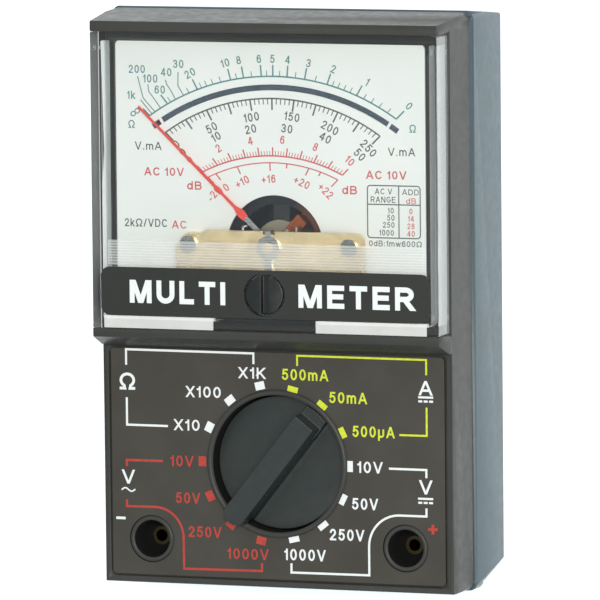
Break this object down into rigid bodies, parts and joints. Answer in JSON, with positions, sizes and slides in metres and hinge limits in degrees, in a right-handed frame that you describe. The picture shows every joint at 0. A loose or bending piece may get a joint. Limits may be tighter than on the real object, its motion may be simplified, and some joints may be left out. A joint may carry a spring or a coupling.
{
  "type": "analog multimeter",
  "caption": "Pocket moving-coil multimeter with a clear scale window, a rotary range switch, two test sockets, a zero screw and a thumbwheel.",
  "frame": {"origin": "middle of the back face, on the surface the meter lies on", "axes": "+X across the case to the right seen from the front, +Y towards the scale end, +Z out of the face"},
  "size_m": [0.0666, 0.1006, 0.031],
  "materials": {
    "case_plastic": "fine textured dark grey moulding",
    "rear_plastic": "fine textured grey moulding",
    "panel_print": "warm dark grey printed panel",
    "clear_plastic": "clear polished moulding",
    "black_label": "gloss black label with white lettering",
    "black_plastic": "black moulding",
    "knob_plastic": "satin dark slate moulding",
    "dial_card": "matt white enamel with printed scales",
    "mirror_steel": "mirror strip",
    "red_paint": "red lacquer",
    "aluminium_part": "bright pressed aluminium",
    "steel": "plain steel",
    "soft_iron": "nickel-plated soft iron",
    "brass": "plain brass",
    "copper_winding": "varnished copper wire",
    "spring_bronze": "phosphor bronze",
    "white_plastic": "natural white moulding",
    "circuit_board": "green laminate",
    "copper_track": "tinned copper track",
    "blue_plastic": "blue moulding",
    "resistor_body": "lacquered body with colour bands",
    "diode_body": "black moulded body with a pale band",
    "fuse_glass": "clear glass",
    "cell_jacket": "printed metal jacket",
    "red_insulation": "red PVC",
    "black_insulation": "black PVC"
  },
  "bodies": {
    "case": {"front_case": "case_plastic", "rear_cover": "rear_plastic", "panel_plate": "panel_print", "meter_window": "clear_plastic", "nameplate": "black_label", "case_screws": "steel", "dial_plate": "dial_card", "mirror_strip": "mirror_steel", "dial_screws": "steel", "movement_frame": "black_plastic", "movement_screws": "steel", "yoke_ring": "soft_iron", "magnet_core": "soft_iron", "core_spacers": "black_plastic", "upper_bridge": "brass", "lower_bridge": "aluminium_part", "jewel_screws": "brass", "pointer_stops": "steel", "lower_hairspring": "spring_bronze", "detent_spring": "steel", "potentiometer": "blue_plastic", "pcb": "circuit_board", "switch_tracks": "copper_track", "pcb_screws": "steel", "resistors": "resistor_body", "diodes": "diode_body", "trimmer": "blue_plastic", "fuse_tube": "fuse_glass", "fuse_caps": "steel", "fuse_clips": "brass", "jack_contact_negative": "brass", "jack_contact_positive": "brass", "battery_cell": "cell_jacket", "battery_contact_plates": "steel", "battery_spring": "steel", "battery_lead_red": "red_insulation", "battery_lead_black": "black_insulation", "movement_lead_red": "red_insulation", "movement_lead_black": "black_insulation"},
    "pointer": {"needle": "red_paint", "pointer_hub": "aluminium_part", "balance_weights": "steel", "moving_coil": "copper_winding", "pivot_staffs": "steel"},
    "range_switch": {"range_knob": "knob_plastic", "wiper_rotor": "white_plastic", "wiper_contacts": "spring_bronze", "knob_screw": "steel"},
    "zero_adjuster": {"zero_screw": "black_plastic"},
    "zero_arm": {"zero_lever": "aluminium_part", "upper_hairspring": "spring_bronze"},
    "ohm_adjuster": {"ohm_wheel": "black_plastic"}
  },
  "joints": [
    {"name": "pointer_swing", "type": "hinge", "parent": "case", "child": "pointer", "pos_m": [0, 0.00965, 0.0257], "axis": [0, 0, 1], "range_deg": [-92, 0], "stiffness_Nm_per_rad": 0.00002},
    {"name": "range_select", "type": "hinge", "parent": "case", "child": "range_switch", "pos_m": [0, -0.02815, 0.022], "axis": [0, 0, 1], "continuous": true},
    {"name": "zero_turn", "type": "hinge", "parent": "case", "child": "zero_adjuster", "pos_m": [0, 0.00175, 0.03], "axis": [0, 0, 1], "range_deg": [-30, 30]},
    {"name": "zero_arm_tilt", "type": "hinge", "parent": "case", "child": "zero_arm", "pos_m": [0, 0.00965, 0.0281], "axis": [0, 0, 1], "range_deg": [-6.6, 6.6]},
    {"name": "ohm_turn", "type": "hinge", "parent": "case", "child": "ohm_adjuster", "pos_m": [-0.0249, -0.024, 0.0185], "axis": [0, 0, 1], "range_deg": [-135, 135]}
  ],
  "couplings": [
    {"joint": "zero_arm_tilt", "follows": "zero_turn", "ratio": -0.21538}
  ]
}
